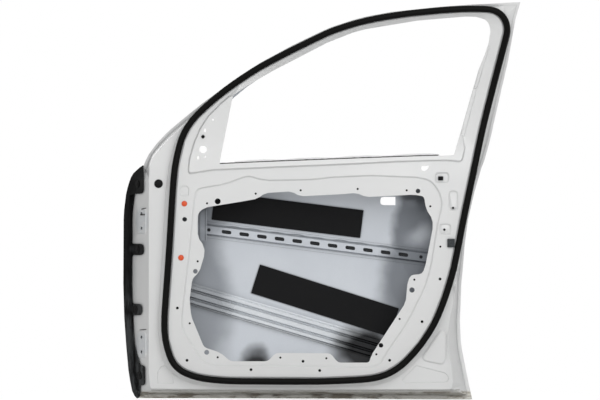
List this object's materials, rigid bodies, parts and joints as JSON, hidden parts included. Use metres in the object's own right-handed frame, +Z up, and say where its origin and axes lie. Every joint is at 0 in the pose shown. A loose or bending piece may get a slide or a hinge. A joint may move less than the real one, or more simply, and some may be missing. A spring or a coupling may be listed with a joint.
{
  "type": "car door shell",
  "caption": "Stripped front door shell of a car: outer skin hemmed to a stamped inner panel with window and service openings, impact beam and rubber door seals.",
  "frame": {"origin": "on the hinge face of the inner panel, midway between the two bolt holes of the upper hinge", "axes": "+X towards the rear of the car, +Y outward through the skin, +Z up"},
  "size_m": [1.1913, 0.2235, 1.1918],
  "materials": {
    "white_paint": "gloss",
    "primer": "satin",
    "black_rubber": "matte",
    "black_pad": "matte",
    "black_plastic": "matte",
    "orange_plastic": "matte",
    "grey_foam": "matte",
    "steel": "satin"
  },
  "bodies": {
    "root": {"outer_skin": "primer", "inner_panel": "white_paint", "door_weatherstrip": "black_rubber", "hinge_side_seal": "black_rubber", "seal_clip_1": "black_plastic", "seal_clip_2": "black_plastic", "seal_clip_3": "black_plastic", "seal_clip_4": "black_plastic", "impact_beam": "primer", "beam_bracket_front": "primer", "beam_bracket_rear": "primer", "skin_stiffener": "primer", "upper_damping_pad": "black_pad", "lower_damping_pad": "black_pad", "belt_reinforcement_inner": "white_paint", "belt_reinforcement_outer": "white_paint", "mirror_mount_plate": "white_paint", "mirror_insert": "black_plastic", "hinge_plate_upper": "steel", "hinge_plate_lower": "steel", "latch_plate": "steel", "glass_guide": "steel", "orange_plug_upper": "orange_plastic", "orange_plug_lower": "orange_plastic", "land_plug": "black_plastic", "square_insert": "black_plastic", "foam_block": "grey_foam"}
  },
  "joints": []
}
